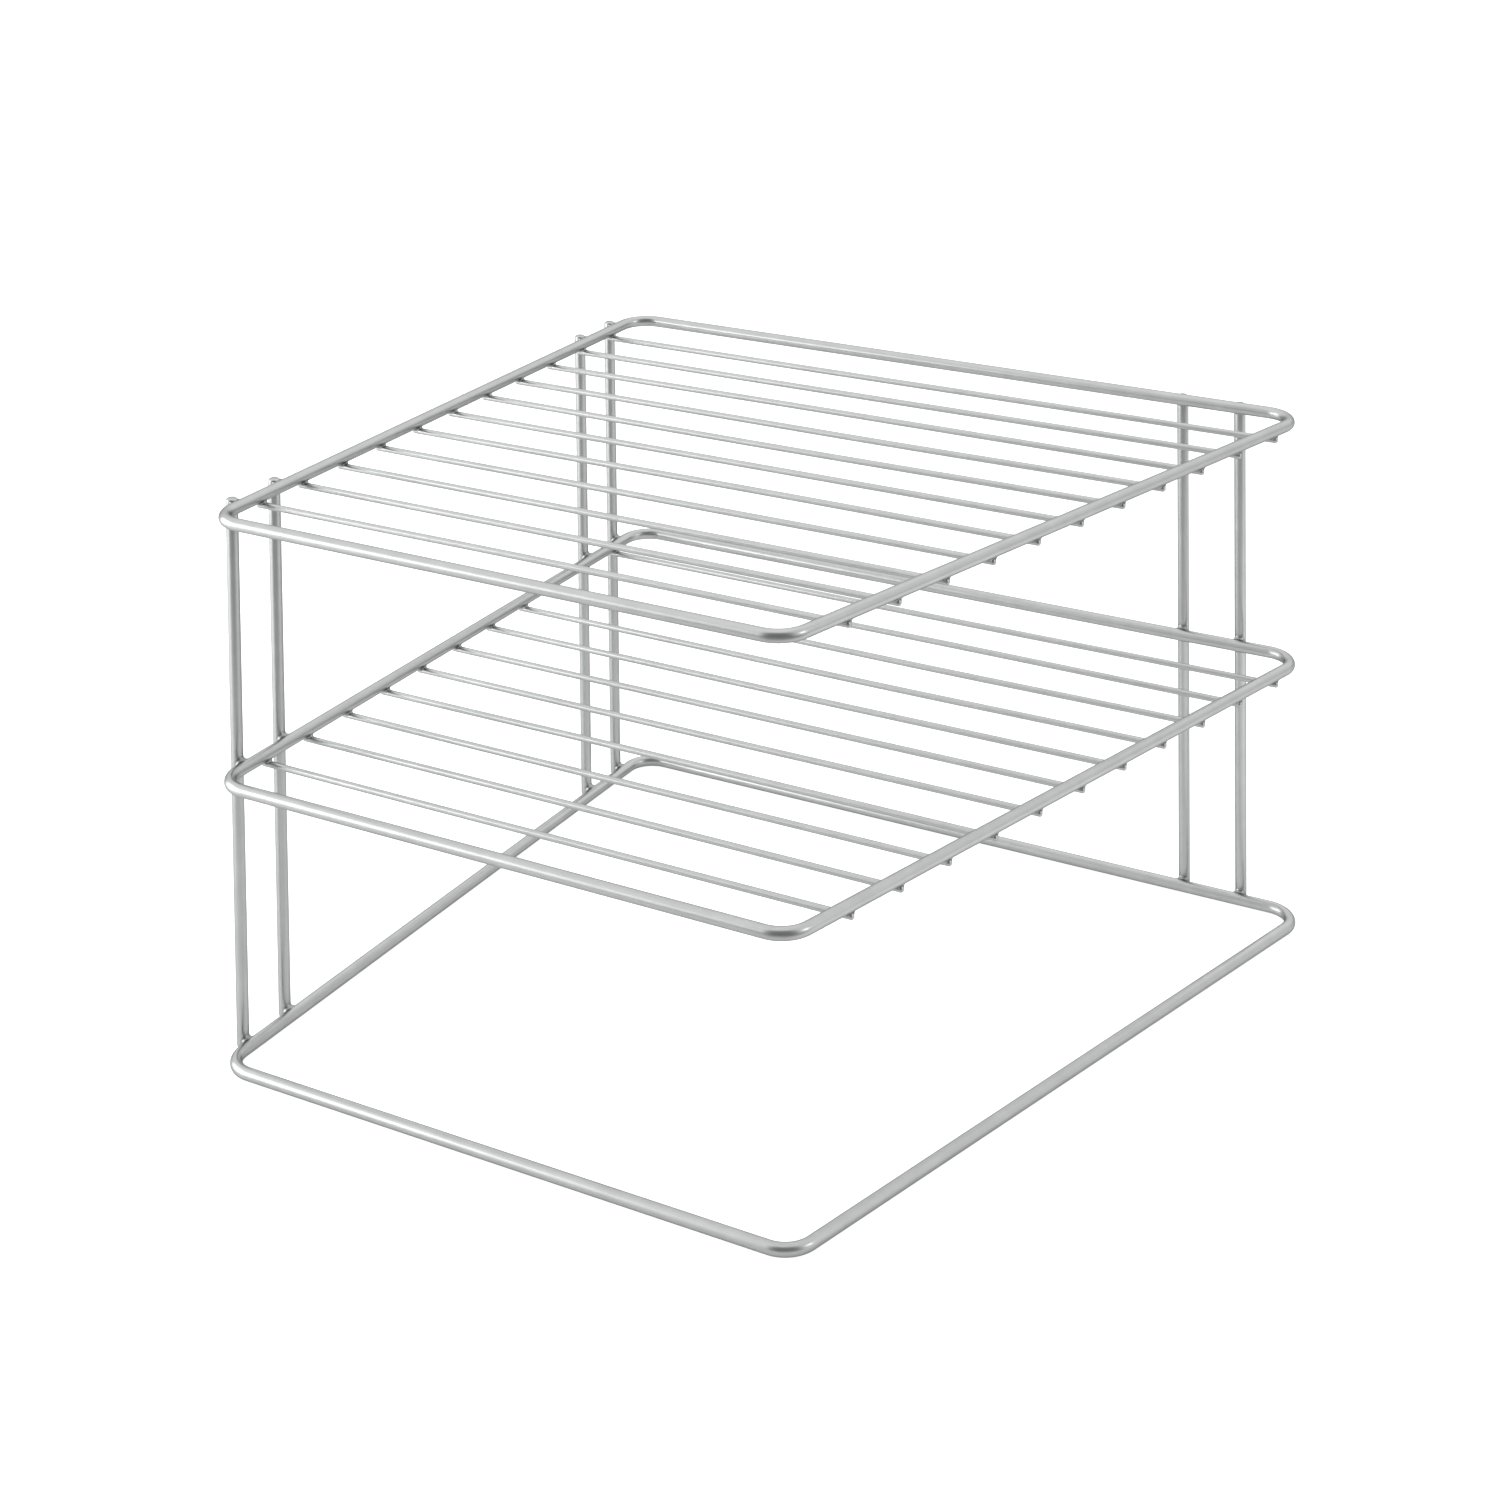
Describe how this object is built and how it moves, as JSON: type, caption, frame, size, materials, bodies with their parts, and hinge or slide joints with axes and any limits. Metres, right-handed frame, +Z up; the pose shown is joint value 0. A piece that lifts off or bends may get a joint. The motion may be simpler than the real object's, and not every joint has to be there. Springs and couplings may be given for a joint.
{
  "type": "two-tier corner wire rack",
  "caption": "Free-standing welded wire rack for a cupboard corner: two wire shelves on paired posts over an open base ring, with one side slanted in towards the front.",
  "frame": {"origin": "bottom centre of the bounding box, on the plane that the base ring rests on", "axes": "+X to the right along the front side, +Y from the front side towards the back side, +Z up"},
  "size_m": [0.2616, 0.2483, 0.1709],
  "materials": {
    "wire_coating": "satin silver-grey metallic coating on steel wire",
    "weld_coating": "the same satin silver-grey coating, pooled a little thicker over resistance welds"
  },
  "bodies": {
    "root": {"base_ring": "wire_coating", "middle_ring": "wire_coating", "top_ring": "wire_coating", "left_front_outer_post": "wire_coating", "left_front_inner_post": "wire_coating", "left_back_inner_post": "wire_coating", "left_back_outer_post": "wire_coating", "back_right_inner_post": "wire_coating", "back_right_outer_post": "wire_coating", "middle_shelf_wire_01": "wire_coating", "middle_shelf_wire_02": "wire_coating", "middle_shelf_wire_03": "wire_coating", "middle_shelf_wire_04": "wire_coating", "middle_shelf_wire_05": "wire_coating", "middle_shelf_wire_06": "wire_coating", "middle_shelf_wire_07": "wire_coating", "middle_shelf_wire_08": "wire_coating", "middle_shelf_wire_09": "wire_coating", "middle_shelf_wire_10": "wire_coating", "middle_shelf_wire_11": "wire_coating", "top_shelf_wire_01": "wire_coating", "top_shelf_wire_02": "wire_coating", "top_shelf_wire_03": "wire_coating", "top_shelf_wire_04": "wire_coating", "top_shelf_wire_05": "wire_coating", "top_shelf_wire_06": "wire_coating", "top_shelf_wire_07": "wire_coating", "top_shelf_wire_08": "wire_coating", "top_shelf_wire_09": "wire_coating", "top_shelf_wire_10": "wire_coating", "top_shelf_wire_11": "wire_coating", "base_left_post_welds": "weld_coating", "base_back_post_welds": "weld_coating", "middle_left_post_welds": "weld_coating", "middle_back_post_welds": "weld_coating", "top_left_post_welds": "weld_coating", "top_back_post_welds": "weld_coating", "middle_shelf_left_welds": "weld_coating", "middle_shelf_right_welds": "weld_coating", "top_shelf_left_welds": "weld_coating", "top_shelf_right_welds": "weld_coating", "ring_butt_welds": "weld_coating"}
  },
  "joints": []
}
